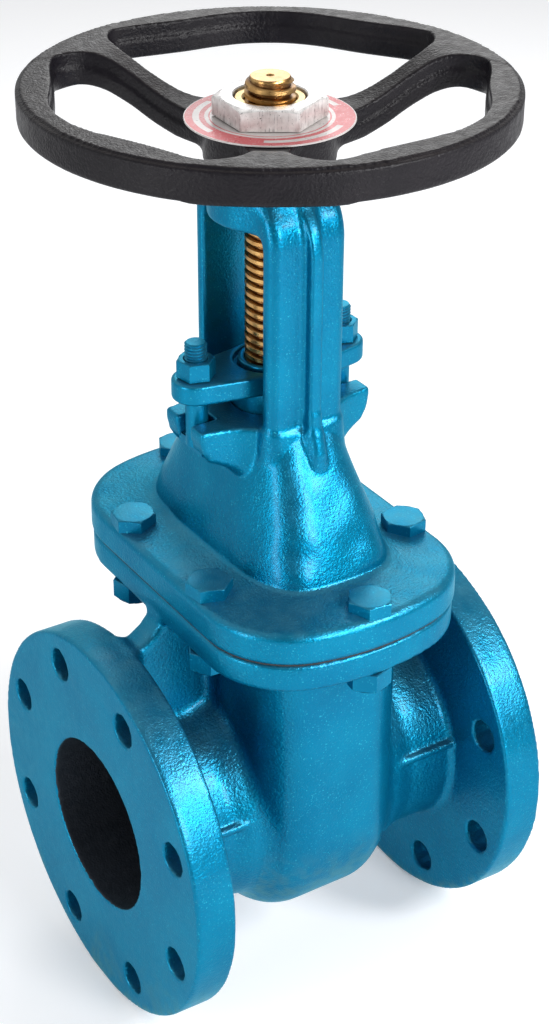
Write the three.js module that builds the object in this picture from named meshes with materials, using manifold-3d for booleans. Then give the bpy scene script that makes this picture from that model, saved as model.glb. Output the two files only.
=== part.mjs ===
// A four-inch, class 125 gate valve with an outside screw and yoke.
// Millimetres, +Z up. The origin is where the pipe axis (X) meets the stem axis (Z).
// The valve is shown closed. The stem thread is left-handed, so turning the handwheel
// counterclockwise, seen from above, lifts the stem and the wedge.

import * as THREE from "three";
import { mergeVertices } from "three/addons/utils/BufferGeometryUtils.js";
import Module from "manifold-3d";

const wasm = await Module();
wasm.setup();

// ---------------------------------------------------------------- driving dimensions

const GAP = 0.3; // clearance between pieces that touch

const pipe = {
  bore: 101.6,
  faceToFace: 228.6,
  flangeDiameter: 228.6,
  flangeThickness: 23.8,
  boltCircle: 190.5,
  boltHole: 19,
  boltCount: 8,
  neckRadius: 62,
};

const joint = {
  // the oval joint between the body and the bonnet
  halfX: 73,
  halfY: 110,
  straightY: 57,
  cornerRadius: 50,
  bodyFlangeBottom: 127,
  bodyFlangeTop: 142.5,
  gasket: 0.8,
  bonnetFlangeTop: 160.5,
  boltShank: 14,
  boltHole: 15.4,
  boltHead: 22,
  boltSideX: 62.2,
  boltSideY: 41,
  boltEndY: 98.9,
};
const bonnetBottom = joint.bodyFlangeTop + joint.gasket + 2 * GAP;

const wedgeSize = {
  taperDegrees: 5,
  radius: 59,
  halfThickness: 23, // at the pipe axis
  faceRing: 3,
  hubHalfX: 21,
  hubHalfY: 24,
  hubTop: 80,
  guideHalfWidth: 4,
  guideInner: 57,
};
const taper = Math.tan(THREE.MathUtils.degToRad(wedgeSize.taperDegrees));

const chamber = { halfX: 33, radius: 66.5 };

const stemSize = {
  radius: 12.5,
  threadRadius: 12.8,
  threadRoot: 10.4,
  pitch: 5,
  threadBottom: 256,
  top: 417.8,
  headRadius: 15.5,
  headBottom: 60.3,
  headTop: 69.4,
  neckRadius: 9.2,
  shoulder: 84,
  shoulderRadius: 16,
};

const box = {
  // stuffing box and gland
  top: 241,
  floor: 207,
  radius: 20.5,
  lugEnd: 52,
  lugHalfY: 18.5,
  slotHalfWidth: 6.5,
  slotInner: 37,
  teeTop: 230, // roof of the pockets that hold the gland bolts' heads
  teeHalfX: 4.2,
  teeHalfY: 12.5,
  teeHeight: 6.7,
  packingHeight: 7.2,
  packingCount: 4,
  glandBottom: 253.5,
  glandTop: 265,
  studX: 44.5,
  studRadius: 6,
  studTop: 285,
  studNut: 18,
};

const yoke = {
  halfWidth: 22.6,
  inner: 29,
  outer: 38.9,
  rib: 46,
  ribHalfWidth: 3.65,
  bridgeBottom: 349,
  bridgeTop: 371,
  hubTop: 372,
  hubRadius: 32,
  legBottom: 212,
};

const sleeveSize = {
  bore: 13.2,
  journal: 20,
  collar: 24,
  collarBottom: 359,
  collarTop: 365,
  bottom: 350.5,
  shoulder: 374.7,
  radius: 18,
  top: 407,
  washer: 2.4,
};

const wheel = {
  radius: 124.6,
  rimTop: 416.1,
  rimBottom: 397,
  grooveRadius: 122.6,
  hubBottom: 375,
  hubTop: 396,
  bossRadius: 32,
  webRadius: 34.5,
  firstSpoke: -122.5, // degrees from +X
  plateRadius: 43,
  plateThickness: 0.8,
  nut: 50,
  nutTop: 408.4,
};

// ---------------------------------------------------------------- solids from geometries

function signedVolume(positions, triangles) {
  const [a, b, c] = [new THREE.Vector3(), new THREE.Vector3(), new THREE.Vector3()];
  let volume = 0;
  for (const [i, j, k] of triangles) {
    a.fromArray(positions, 3 * i);
    b.fromArray(positions, 3 * j);
    c.fromArray(positions, 3 * k);
    volume += a.dot(b.cross(c)) / 6;
  }
  return volume;
}

function toSolid(geometry) {
  geometry.deleteAttribute("normal");
  geometry.deleteAttribute("uv");
  const merged = mergeVertices(geometry, 1e-4);
  const index = merged.index.array;
  const positions = merged.attributes.position.array;
  const triangles = [];
  for (let n = 0; n < index.length; n += 3) {
    const [i, j, k] = [index[n], index[n + 1], index[n + 2]];
    if (i !== j && j !== k && k !== i) triangles.push([i, j, k]);
  }
  const outward = signedVolume(positions, triangles) > 0;
  const triVerts = triangles.flatMap(([i, j, k]) => (outward ? [i, j, k] : [i, k, j]));
  return new wasm.Manifold(
    new wasm.Mesh({
      numProp: 3,
      vertProperties: new Float32Array(positions),
      triVerts: new Uint32Array(triVerts),
    }),
  );
}

function toGeometry(solid) {
  const { numProp, vertProperties, triVerts } = solid.getMesh();
  const positions = [];
  for (let n = 0; n < vertProperties.length; n += numProp) {
    positions.push(vertProperties[n], vertProperties[n + 1], vertProperties[n + 2]);
  }
  const geometry = new THREE.BufferGeometry();
  geometry.setAttribute("position", new THREE.Float32BufferAttribute(positions, 3));
  geometry.setIndex(Array.from(triVerts));
  return geometry;
}

const union = (...solids) => solids.reduce((whole, next) => whole.add(next));

const cut = (solid, ...tools) => tools.reduce((rest, tool) => rest.subtract(tool), solid);

// An upright cylinder from z0 to z1, or a cone when topRadius differs.
function cylinder(radius, z0, z1, sides = 32, topRadius = radius) {
  const geometry = new THREE.CylinderGeometry(topRadius, radius, z1 - z0, sides);
  return toSolid(geometry.rotateX(Math.PI / 2).translate(0, 0, (z0 + z1) / 2));
}

function block(x0, x1, y0, y1, z0, z1) {
  const geometry = new THREE.BoxGeometry(x1 - x0, y1 - y0, z1 - z0);
  return toSolid(geometry.translate((x0 + x1) / 2, (y0 + y1) / 2, (z0 + z1) / 2));
}

// A solid of revolution about Z. The profile is a list of [radius, height].
function turned(profile, sides = 32) {
  const points = profile.map(([radius, height]) => new THREE.Vector2(radius, height));
  return toSolid(new THREE.LatheGeometry(points, sides).rotateX(Math.PI / 2));
}

// A closed ring of rectangular section about Z.
function ring(inner, outer, z0, z1, sides = 32) {
  return turned([[inner, z0], [outer, z0], [outer, z1], [inner, z1], [inner, z0]], sides);
}

function polygon(points) {
  return new THREE.Shape(points.map(([x, y]) => new THREE.Vector2(x, y)));
}

// A flat outline raised along Z from z0 to z1.
function prism(shape, z0, z1, bevel = 0) {
  const geometry = new THREE.ExtrudeGeometry(shape, {
    depth: z1 - z0 - 2 * bevel,
    bevelEnabled: bevel > 0,
    bevelThickness: bevel,
    bevelSize: bevel,
    bevelOffset: -bevel,
    bevelSegments: 1,
    curveSegments: 5,
  });
  return toSolid(geometry.translate(0, 0, z0 + bevel));
}

// A skin stretched over rings of points, closed at both ends.
function loft(rings) {
  const count = rings[0].length;
  const centre = (points) => {
    const sum = points.reduce((total, point) => total.add(point), new THREE.Vector3());
    return sum.divideScalar(count);
  };
  const vertices = [...rings.flat(), centre(rings[0]), centre(rings.at(-1))];
  const first = rings.length * count;
  const index = [];
  for (let i = 0; i < count; i++) {
    const j = (i + 1) % count;
    for (let level = 0; level < rings.length - 1; level++) {
      const low = level * count;
      const high = low + count;
      index.push(low + i, low + j, high + j, low + i, high + j, high + i);
    }
    const last = (rings.length - 1) * count;
    index.push(first, j, i, first + 1, last + i, last + j);
  }
  const geometry = new THREE.BufferGeometry().setFromPoints(vertices);
  geometry.setIndex(index);
  return toSolid(geometry);
}

// A superellipse at height z: round at power 2, squarer above it.
function squareRound(halfX, halfY, z, power, count = 32) {
  return Array.from({ length: count }, (_, n) => {
    const angle = (2 * Math.PI * n) / count;
    const [c, s] = [Math.cos(angle), Math.sin(angle)];
    const reach = (Math.abs(c) ** power + Math.abs(s) ** power) ** (-1 / power);
    return new THREE.Vector3(halfX * c * reach, halfY * s * reach, z);
  });
}

const alongX = (solid) => solid.rotate([0, 90, 0]);

const mirrored = (solid, normal) => union(solid, solid.mirror(normal));

// A profile in the X-Z plane, raised across Y and centred on it.
function crossY(points, halfWidth) {
  return prism(polygon(points), -halfWidth, halfWidth).rotate([90, 0, 0]);
}

// ---------------------------------------------------------------- shared outlines

// The bonnet joint's outline, inset all round: straight sides, corner arcs and
// flatter end arcs that run on smoothly.
function jointRing(inset, z) {
  const cornerX = joint.halfX - joint.cornerRadius;
  const cornerY = joint.straightY;
  const reach = joint.halfY - joint.cornerRadius;
  const endY = (reach ** 2 - cornerX ** 2 - cornerY ** 2) / (2 * (reach - cornerY));
  const turn = Math.atan2(cornerY - endY, cornerX);
  const corner = joint.cornerRadius - inset;
  const end = joint.halfY - endY - inset;
  const arc = (x, y, radius, from, to, steps) =>
    Array.from({ length: steps + 1 }, (_, n) => {
      const angle = from + ((to - from) * n) / steps;
      return new THREE.Vector2(x + radius * Math.cos(angle), y + radius * Math.sin(angle));
    });
  const quarter = [
    ...arc(cornerX, cornerY, corner, 0, turn, 7),
    ...arc(0, endY, end, turn, Math.PI / 2, 2).slice(1),
  ];
  const left = quarter.slice(0, -1).reverse().map((p) => new THREE.Vector2(-p.x, p.y));
  const half = [...quarter, ...left];
  const back = half.map((p) => new THREE.Vector2(-p.x, -p.y));
  return [...half, ...back].map((p) => new THREE.Vector3(p.x, p.y, z));
}

const jointBolts = [
  [joint.boltSideX, joint.boltSideY],
  [0, joint.boltEndY],
  [-joint.boltSideX, joint.boltSideY],
  [-joint.boltSideX, -joint.boltSideY],
  [0, -joint.boltEndY],
  [joint.boltSideX, -joint.boltSideY],
];

const jointHoles = (z0, z1) =>
  jointBolts.map(([x, y]) => cylinder(joint.boltHole / 2, z0, z1, 12).translate([x, y, 0]));

function hexagon(acrossFlats, z0, z1) {
  return cylinder(acrossFlats / Math.sqrt(3), z0, z1, 6);
}

// The double cone that rounds a hexagon's corners on its outer face.
function cornerTrim(acrossFlats, z0, z1) {
  const corner = acrossFlats / Math.sqrt(3);
  const inner = 0.475 * acrossFlats;
  const drop = 0.4 * (corner + 1 - inner);
  const profile = [[0, z0], [corner + 1, z0], [corner + 1, z1 - drop], [inner, z1], [0, z1]];
  return turned(profile, 12);
}

const hexHead = (acrossFlats, z0, z1) =>
  hexagon(acrossFlats, z0, z1).intersect(cornerTrim(acrossFlats, z0, z1));

// ---------------------------------------------------------------- body

function pipeFlange() {
  const face = pipe.faceToFace / 2;
  const back = face - pipe.flangeThickness;
  const disc = turned(
    [
      [0, back],
      [pipe.flangeDiameter / 2, back],
      [pipe.flangeDiameter / 2, face - 0.8],
      [pipe.flangeDiameter / 2 - 0.8, face],
      [0, face],
    ],
    48,
  );
  const holes = Array.from({ length: pipe.boltCount }, (_, n) => {
    const turn = 360 * ((n + 0.5) / pipe.boltCount);
    const hole = cylinder(pipe.boltHole / 2, back - 1, face + 1, 12);
    return hole.translate([pipe.boltCircle / 2, 0, 0]).rotate([0, 0, turn]);
  });
  return cut(disc, ...holes);
}

function pipeNeck() {
  const back = pipe.faceToFace / 2 - pipe.flangeThickness;
  const neck = pipe.neckRadius;
  return turned(
    [
      [0, 20],
      [neck + 4, 20],
      [neck + 4, 46],
      [neck + 2.6, 52],
      [neck, 62],
      [neck, back - 8],
      [neck + 3.5, back + 1],
      [0, back + 1],
    ],
    36,
  );
}

// A low casting ridge along each side of a neck, a little above the pipe axis.
function neckRidge() {
  const back = pipe.faceToFace / 2 - pipe.flangeThickness;
  const ridge = block(42, back, 0, pipe.neckRadius - 0.4, 14.4, 16.6);
  return mirrored(ridge, [0, 1, 0]);
}

// The web that ties each pipe flange to the bonnet joint above it.
function cornerWeb() {
  const back = pipe.faceToFace / 2 - pipe.flangeThickness;
  const web = [
    [40, 40],
    [back + 1, 40],
    [back + 1, 112],
    [back - 4, 114.5],
    [joint.halfX + 6, 119],
    [joint.halfX - 1, joint.bodyFlangeBottom + 1],
    [40, joint.bodyFlangeBottom + 1],
  ];
  return crossY(web, 9);
}

const shellProfile = [[0, 81], [15, 80.3], [28, 77], [36, 72], [41, 65], [43, 57]];

// The wedge housing: a thick disc about the pipe axis, carried straight up to the joint.
function housing() {
  const right = shellProfile.map(([x, radius]) => [radius, x]);
  const left = shellProfile.slice(1).reverse().map(([x, radius]) => [radius, -x]);
  const disc = alongX(turned([[0, -43], ...left, ...right, [0, 43]], 40));
  const plan = [...shellProfile.slice().reverse(), ...shellProfile.slice(1).map(([x, y]) => [-x, y])];
  const outline = [...plan, ...plan.slice().reverse().map(([x, y]) => [x, -y])];
  return union(disc, prism(polygon(outline), 0, joint.bodyFlangeBottom + 1));
}

function wedgeChamber() {
  const { halfX, radius } = chamber;
  const round = alongX(cylinder(radius, -halfX, halfX, 32));
  const shaft = block(-halfX, halfX, -radius, radius, 0, joint.bodyFlangeTop + 1);
  return union(round, shaft);
}

const seatPocket = { radius: 60, depth: 40 };

// Two upright ribs inside the body that keep the wedge square to the bore.
function wedgeGuides() {
  const { guideHalfWidth, guideInner } = wedgeSize;
  const rib = block(-guideHalfWidth, guideHalfWidth, guideInner, chamber.radius + 2, -14, 138);
  return mirrored(rib, [0, 1, 0]);
}

function body() {
  const half = union(alongX(pipeFlange()), alongX(pipeNeck()), neckRidge(), cornerWeb());
  const flange = loft([
    jointRing(1.5, joint.bodyFlangeBottom),
    jointRing(0, joint.bodyFlangeBottom + 1.5),
    jointRing(0, joint.bodyFlangeTop - 0.6),
    jointRing(0.6, joint.bodyFlangeTop),
  ]);
  const outside = union(mirrored(half, [1, 0, 0]), housing(), flange);
  const reach = pipe.faceToFace / 2 + 1;
  const bore = alongX(cylinder(pipe.bore / 2, -reach, reach, 40));
  const pockets = alongX(cylinder(seatPocket.radius, -seatPocket.depth, seatPocket.depth, 32));
  const holes = jointHoles(joint.bodyFlangeBottom - 1, joint.bodyFlangeTop + 1);
  return union(cut(outside, bore, pockets, wedgeChamber(), ...holes), wedgeGuides());
}

// ---------------------------------------------------------------- seats and wedge

// Everything on the pipe side of a seat plane that leans outward as it rises.
function seatSide(offset) {
  const top = 90;
  const plane = (z) => offset + z * taper;
  return crossY([[plane(-top), -top], [150, -top], [150, top], [plane(top), top]], 100);
}

function seatRing() {
  const tube = alongX(ring(pipe.bore / 2, seatPocket.radius - GAP, 10, seatPocket.depth - GAP, 32));
  return tube.intersect(seatSide(wedgeSize.halfThickness + 0.35));
}

function wedgeRing() {
  const tube = alongX(ring(pipe.bore / 2 + 0.7, wedgeSize.radius, 5, 60, 32));
  const face = wedgeSize.halfThickness;
  return tube.intersect(cut(seatSide(face - wedgeSize.faceRing), seatSide(face)));
}

function wedge() {
  const { radius, halfThickness, faceRing, hubHalfX, hubHalfY, hubTop } = wedgeSize;
  const disc = alongX(cylinder(radius, -60, 60, 32));
  const side = seatSide(halfThickness - faceRing - GAP);
  const plate = cut(disc, side, side.mirror([1, 0, 0]));
  const hub = block(-hubHalfX, hubHalfX, -hubHalfY, hubHalfY, 44, hubTop);
  const head = stemSize.headRadius + GAP;
  const headSlot = block(-head, head, -40, 40, stemSize.headBottom - GAP, stemSize.headTop + GAP);
  const neck = stemSize.neckRadius + GAP;
  const neckSlot = block(-neck, neck, -40, 40, stemSize.headTop, hubTop + 1);
  const grooveHalf = wedgeSize.guideHalfWidth + 0.8;
  const groove = block(-grooveHalf, grooveHalf, wedgeSize.guideInner - 0.8, radius + 5, -70, 70);
  return cut(union(plate, hub), headSlot, neckSlot, mirrored(groove, [0, 1, 0]));
}

// ---------------------------------------------------------------- stem

// A left-handed trapezoidal thread: rings of one pitch each, climbing with the turn.
function threadedRod(bottom, turns) {
  const { pitch, threadRadius, threadRoot } = stemSize;
  const sides = 8;
  const profile = [[threadRadius, 0.06], [threadRadius, 0.38], [threadRoot, 0.56], [threadRoot, 0.88]];
  const vertices = [];
  for (let step = 0; step <= sides * turns; step++) {
    const angle = (-2 * Math.PI * step) / sides;
    for (const [radius, height] of profile) {
      const z = bottom + pitch * (step / sides + height);
      vertices.push(new THREE.Vector3(radius * Math.cos(angle), radius * Math.sin(angle), z));
    }
  }
  const width = profile.length;
  const last = sides * turns;
  const at = (step, level) => step * width + level;
  const index = [];
  for (let step = 0; step < last; step++) {
    for (let level = 0; level < width - 1; level++) {
      const [a, b] = [at(step, level), at(step + 1, level)];
      index.push(a, a + 1, b + 1, a, b + 1, b);
    }
    if (step + sides >= last) continue;
    const [a, b] = [at(step, width - 1), at(step + 1, width - 1)];
    const [c, d] = [at(step + sides, 0), at(step + sides + 1, 0)];
    index.push(a, c, d, a, d, b);
  }
  // each end is closed by a fan over the last turn's free edge
  const low = vertices.push(new THREE.Vector3(0, 0, bottom)) - 1;
  const high = vertices.push(new THREE.Vector3(0, 0, bottom + pitch * (turns + 1))) - 1;
  for (let step = 0; step < sides; step++) {
    index.push(low, at(step, 0), at(step + 1, 0));
    const [c, d] = [at(last - sides + step, width - 1), at(last - sides + step + 1, width - 1)];
    index.push(high, d, c);
  }
  for (let level = width - 1; level > 0; level--) {
    index.push(low, at(0, level), at(0, level - 1));
    index.push(high, at(last, level - 1), at(last, level));
  }
  index.push(low, at(sides, 0), at(0, width - 1));
  index.push(high, at(last - sides, width - 1), at(last, 0));
  const geometry = new THREE.BufferGeometry().setFromPoints(vertices);
  geometry.setIndex(index);
  return toSolid(geometry);
}

function stem() {
  const s = stemSize;
  const turns = Math.ceil((s.top - s.threadBottom) / s.pitch) + 2;
  const rod = threadedRod(s.threadBottom - s.pitch, turns);
  const envelope = turned(
    [
      [0, s.threadBottom],
      [s.threadRadius + 1, s.threadBottom],
      [s.threadRadius + 1, s.top - 2.5],
      [10.8, s.top],
      [0, s.top],
    ],
    24,
  );
  const shaft = turned(
    [
      [0, s.headBottom],
      [s.headRadius, s.headBottom],
      [s.headRadius, s.headTop],
      [s.neckRadius, s.headTop],
      [s.neckRadius, s.shoulder - 3],
      [s.shoulderRadius - 2, s.shoulder - 3],
      [s.shoulderRadius, s.shoulder],
      [s.radius, s.shoulder + 4],
      [s.radius, s.threadBottom + 1],
      [0, s.threadBottom + 1],
    ],
    24,
  );
  const centreDrill = turned([[0, s.top - 3], [1.6, s.top + 0.2], [0, s.top + 0.2]], 12);
  return cut(union(rod.intersect(envelope), shaft), centreDrill);
}

// ---------------------------------------------------------------- bonnet

const domeSections = [
  [158, 46.2, 78.4],
  [163, 45.4, 77.2],
  [171, 44.3, 75.3],
  [180, 42.6, 72.4],
  [188, 40.7, 69.2],
  [196, 38.5, 65.4],
  [204, 35.8, 60.9],
  [212, 33.3, 56.6],
  [220, 30.7, 52.2],
  [227, 28.3, 48.2],
  [232, 25.5, 44.5],
  [235, 21, 39.5],
];

const wedgeHollow = [
  [bonnetBottom - 1, 33, 66],
  [150, 32.5, 63],
  [165, 31, 57],
  [183, 28.5, 47],
  [198, 26, 37],
];

// The yoke arm's rib runs out down the dome's end.
const ribFoot = [
  [30, 206],
  [57, 211.5],
  [55.2, 217],
  [52.2, 225],
  [48.9, 234],
  [46, 246],
  [30, 246],
];

// An arch in the Y-Z plane with rounded shoulders, drawn for one leg width.
function archOutline(half, top, shoulder, bottom) {
  const shape = new THREE.Shape();
  shape.moveTo(-half, bottom);
  shape.lineTo(-half, top - shoulder);
  shape.absarc(-half + shoulder, top - shoulder, shoulder, Math.PI, Math.PI / 2, true);
  shape.lineTo(half - shoulder, top);
  shape.absarc(half - shoulder, top - shoulder, shoulder, Math.PI / 2, 0, true);
  shape.lineTo(half, bottom);
  shape.closePath();
  return shape;
}

// The outline lies in Y-Z and is raised across X.
function crossX(shape, halfWidth, bevel = 0) {
  return prism(shape, -halfWidth, halfWidth, bevel).rotate([90, 0, 90]);
}

function yokeArch() {
  const y = yoke;
  const plate = crossX(archOutline(y.outer, y.bridgeTop, 30, y.legBottom), y.halfWidth, 3);
  const rib = crossX(archOutline(y.rib, y.bridgeTop, 37, y.legBottom + 10), y.ribHalfWidth, 1.5);
  const window = crossX(archOutline(y.inner, y.bridgeBottom, 10, box.top - 30), 60);
  const foot = crossX(polygon(ribFoot), y.ribHalfWidth - 0.8);
  const hub = cylinder(y.hubRadius, y.bridgeBottom - 2, y.hubTop, 32);
  return { arms: union(plate, rib, foot, foot.mirror([0, 1, 0]), hub), window };
}

// Two slotted ears on the stuffing box, which take the gland bolts.
function glandLug() {
  const end = box.lugEnd;
  const profile = [
    [0, 203],
    [33, 210],
    [36, 214.5],
    [end - 5, 222.5],
    [end - 1.5, 229],
    [end, box.top - 1],
    [end - 1, box.top],
    [0, box.top],
  ];
  return mirrored(crossY(profile, box.lugHalfY), [1, 0, 0]);
}

// A slot open at the ear's end, and a pocket below for the bolt's T-shaped head.
function glandLugCuts() {
  const slot = block(box.slotInner, 60, -box.slotHalfWidth, box.slotHalfWidth, 205, box.top + 1);
  const reach = box.teeHalfX + 1;
  const half = box.teeHalfY + 0.6;
  const pocket = block(box.studX - reach, box.studX + reach, -half, half, 205, box.teeTop);
  return mirrored(union(slot, pocket), [1, 0, 0]);
}

function bonnet() {
  const top = joint.bonnetFlangeTop;
  const flange = loft([
    jointRing(0.6, bonnetBottom),
    jointRing(0, bonnetBottom + 0.6),
    jointRing(0, top - 2.6),
    jointRing(0.8, top - 0.8),
    jointRing(2.6, top),
  ]);
  const dome = loft(domeSections.map(([z, x, y]) => squareRound(x, y, z, 3)));
  const { arms, window } = yokeArch();
  const lower = union(dome, cylinder(26, 200, box.top, 24), glandLug());
  const upper = cut(arms, window);
  const hollow = loft(wedgeHollow.map(([z, x, y]) => squareRound(x, y, z, 3.4, 24)));
  const washerSeat = sleeveSize.collarBottom - sleeveSize.washer - 2 * GAP;
  const bores = [
    cylinder(sleeveSize.journal + GAP, yoke.bridgeBottom - 5, yoke.hubTop + 1, 24),
    cylinder(sleeveSize.collar + 0.5, washerSeat, yoke.hubTop + 1, 24),
    cylinder(retainerRadius + 0.4, sleeveSize.collarTop, yoke.hubTop + 1, 24),
    cylinder(box.radius + 0.1, box.floor, box.top + 1, 24),
    cylinder(13.6, 190, box.floor + 1, 20),
    cylinder(bushRadius + GAP, 190, bushTop + GAP, 20),
  ];
  const holes = jointHoles(bonnetBottom - 1, top + 1);
  return cut(union(flange, lower, upper), hollow, glandLugCuts(), ...bores, ...holes);
}

// ---------------------------------------------------------------- bonnet fittings

const bushRadius = 18.5;
const bushTop = 203.4;
const retainerRadius = 27.4;

// The joint's gasket has the flange outline, a wedge opening and the bolt holes.
function gasket() {
  const z0 = joint.bodyFlangeTop + GAP;
  const z1 = z0 + joint.gasket;
  const [halfX, halfY] = [chamber.halfX + 1, chamber.radius + 1];
  const opening = block(-halfX, halfX, -halfY, halfY, z0 - 1, z1 + 1);
  return cut(loft([jointRing(0.5, z0), jointRing(0.5, z1)]), opening, ...jointHoles(z0 - 1, z1 + 1));
}

function jointBolt() {
  const seat = joint.bonnetFlangeTop + GAP;
  const radius = joint.boltShank / 2;
  const tip = joint.bodyFlangeBottom - 15;
  const shank = turned(
    [[0, tip], [radius - 1.2, tip], [radius, tip + 1.2], [radius, seat + 1], [0, seat + 1]],
    12,
  );
  return union(shank, hexHead(joint.boltHead, seat, seat + 8));
}

function jointNut() {
  const top = joint.bodyFlangeBottom - GAP;
  const blank = hexHead(joint.boltHead, -top, 11.5 - top).mirror([0, 0, 1]);
  return cut(blank, cylinder(joint.boltShank / 2 + GAP, top - 13, top + 1, 12));
}

function backseatBush() {
  const bottom = 197;
  const bore = 13;
  return turned(
    [
      [bore, bottom + 2],
      [bore + 2, bottom],
      [bushRadius, bottom],
      [bushRadius, bushTop],
      [bore, bushTop],
      [bore, bottom + 2],
    ],
    20,
  );
}

function packingRing(n) {
  const bottom = box.floor + GAP + n * (box.packingHeight + GAP);
  return ring(stemSize.radius + GAP, box.radius - GAP, bottom, bottom + box.packingHeight, 20);
}

function gland() {
  const reach = box.studX;
  const [z0, z1] = [box.glandBottom, box.glandTop];
  const outline = new THREE.Shape();
  const centreRadius = 22;
  const endRadius = 13;
  const lean = Math.asin((centreRadius - endRadius) / reach);
  outline.absarc(reach, 0, endRadius, lean - Math.PI / 2, Math.PI / 2 - lean, false);
  outline.absarc(0, 0, centreRadius, Math.PI / 2 - lean, Math.PI / 2 + lean, false);
  outline.absarc(-reach, 0, endRadius, Math.PI / 2 + lean, 1.5 * Math.PI - lean, false);
  outline.absarc(0, 0, centreRadius, 1.5 * Math.PI - lean, 1.5 * Math.PI + lean, false);
  const flange = prism(outline, z0, z1, 1.2);
  const packingTop = box.floor + box.packingCount * (box.packingHeight + GAP) + GAP;
  const nose = cylinder(box.radius - GAP, packingTop, z0 + 2, 24);
  const collar = cylinder(17.5, z1 - 1, z1 + 1.6, 24, 16.5);
  const hole = cylinder(box.studRadius + 0.7, z0 - 1, z1 + 1, 12).translate([reach, 0, 0]);
  const bore = cylinder(stemSize.threadRadius + 0.4, packingTop - 1, z1 + 5, 24);
  return cut(union(flange, nose, collar), mirrored(hole, [1, 0, 0]), bore);
}

function glandBolt() {
  const top = box.teeTop - GAP;
  const bottom = top - box.teeHeight;
  const radius = box.studRadius;
  const shank = turned(
    [[0, bottom], [radius, bottom], [radius, box.studTop - 1], [radius - 1, box.studTop], [0, box.studTop]],
    12,
  );
  return union(shank, block(-box.teeHalfX, box.teeHalfX, -box.teeHalfY, box.teeHalfY, bottom, top));
}

function glandNut() {
  const seat = box.glandTop + GAP;
  const hole = cylinder(box.studRadius + GAP, seat - 1, seat + 12, 12);
  return cut(hexHead(box.studNut, seat, seat + 10.3), hole);
}

// ---------------------------------------------------------------- drive

const keySize = { inner: 15.8, outer: 20.8, halfWidth: 3, bottom: 377.5, top: 394 };

// The room a key needs in the piece around it.
const keySeat = (inner, outer, z0, z1) =>
  block(inner, outer, -keySize.halfWidth - GAP, keySize.halfWidth + GAP, z0, z1).rotate([0, 0, 90]);

function wheelKey() {
  const { inner, outer, halfWidth, bottom, top } = keySize;
  return block(inner, outer, -halfWidth, halfWidth, bottom, top).rotate([0, 0, 90]);
}

function yokeSleeve() {
  const s = sleeveSize;
  const tube = turned(
    [
      [s.bore, s.bottom],
      [s.journal, s.bottom],
      [s.journal, s.collarBottom],
      [s.collar, s.collarBottom],
      [s.collar, s.collarTop],
      [s.journal, s.collarTop],
      [s.journal, s.shoulder],
      [s.radius, s.shoulder],
      [s.radius, s.top - 0.8],
      [s.radius - 0.8, s.top],
      [s.bore, s.top],
      [s.bore, s.bottom],
    ],
    24,
  );
  return cut(tube, keySeat(keySize.inner - GAP, 22, keySize.bottom - GAP, keySize.top + GAP));
}

function thrustWasher() {
  const top = sleeveSize.collarBottom - GAP;
  return ring(sleeveSize.journal + GAP, sleeveSize.collar, top - sleeveSize.washer, top, 24);
}

function sleeveRetainer() {
  const bottom = sleeveSize.collarTop + GAP;
  const nut = ring(sleeveSize.journal + 0.4, retainerRadius, bottom, yoke.hubTop + 1.2, 24);
  const notch = block(-2.5, 2.5, 24, 30, yoke.hubTop - 2, yoke.hubTop + 3);
  return cut(nut, notch, notch.rotate([0, 0, 180]));
}

// The rim's inner edge swells between the spokes to make finger grips.
function rimInner(degreesFromWindow) {
  const depth = 2 + 0.05 * Math.abs(degreesFromWindow);
  return 110.3 + depth * Math.cos(THREE.MathUtils.degToRad(7.2 * degreesFromWindow));
}

function wheelRim() {
  const steps = 60;
  const rings = Array.from({ length: steps }, (_, n) => {
    const degrees = (360 * n) / steps;
    const inner = rimInner(((degrees + 60) % 120) - 60);
    const section = [
      [inner + 1.2, wheel.rimTop],
      [wheel.grooveRadius, wheel.rimTop],
      [wheel.grooveRadius + 0.5, wheel.rimTop - 1.6],
      [wheel.radius, wheel.rimTop - 3.4],
      [wheel.radius, wheel.rimBottom + 5.5],
      [wheel.radius - 2.6, wheel.rimBottom + 0.8],
      [inner + 3, wheel.rimBottom],
      [inner, wheel.rimBottom + 2.5],
      [inner, wheel.rimTop - 1.4],
    ];
    const angle = THREE.MathUtils.degToRad(degrees + wheel.firstSpoke + 60);
    return section.map(([r, z]) => new THREE.Vector3(r * Math.cos(angle), r * Math.sin(angle), z));
  });
  const width = rings[0].length;
  const index = [];
  for (let i = 0; i < steps; i++) {
    const [near, far] = [i * width, ((i + 1) % steps) * width];
    for (let level = 0; level < width; level++) {
      const next = (level + 1) % width;
      index.push(near + level, far + level, far + next, near + level, far + next, near + next);
    }
  }
  const geometry = new THREE.BufferGeometry().setFromPoints(rings.flat());
  geometry.setIndex(index);
  return toSolid(geometry);
}

// One dished spoke along +X: it drops from the rim to the hub and widens at both ends.
function wheelSpoke() {
  const stations = [
    [22, 15], [36, 13.5], [44, 11], [56, 8.5], [76, 7], [92, 8], [101, 11], [107, 16], [112, 24], [116, 34],
  ];
  const rings = stations.map(([r, halfWidth]) => {
    const rise = THREE.MathUtils.smoothstep(r, 44, 108);
    const top = wheel.hubTop - 0.1 + (wheel.rimTop - wheel.hubTop - 0.2) * rise;
    const bottom = wheel.hubTop - 17 + (wheel.rimBottom + 1 - wheel.hubTop + 17) * rise;
    const corners = [[-1, bottom], [1, bottom], [1, top - 1.5], [0.86, top], [-0.86, top], [-1, top - 1.5]];
    return corners.map(([side, z]) => new THREE.Vector3(r, side * halfWidth, z));
  });
  return loft(rings);
}

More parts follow.
